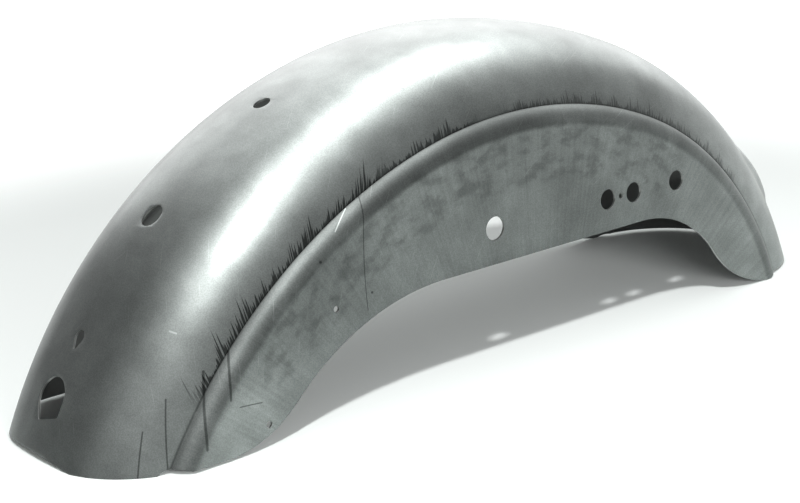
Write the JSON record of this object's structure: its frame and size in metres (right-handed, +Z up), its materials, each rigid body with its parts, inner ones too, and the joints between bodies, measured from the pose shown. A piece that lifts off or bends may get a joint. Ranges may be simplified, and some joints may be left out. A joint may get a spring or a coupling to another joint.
{
  "type": "motorcycle rear fender",
  "caption": "Bare steel rear fender for a cruiser motorcycle: a deep crowned blade with stepped side panels, arched lower edges, strut holes and a lamp opening.",
  "frame": {"origin": "on the floor, midway along the length and across the width", "axes": "+X to the front end, +Y to the left side, +Z up"},
  "size_m": [0.6475, 0.185, 0.222],
  "materials": {
    "sheet_steel": "bare drawn steel with draw streaks, oil stains and fine scratches"
  },
  "bodies": {
    "root": {"fender_shell": "sheet_steel"}
  },
  "joints": []
}
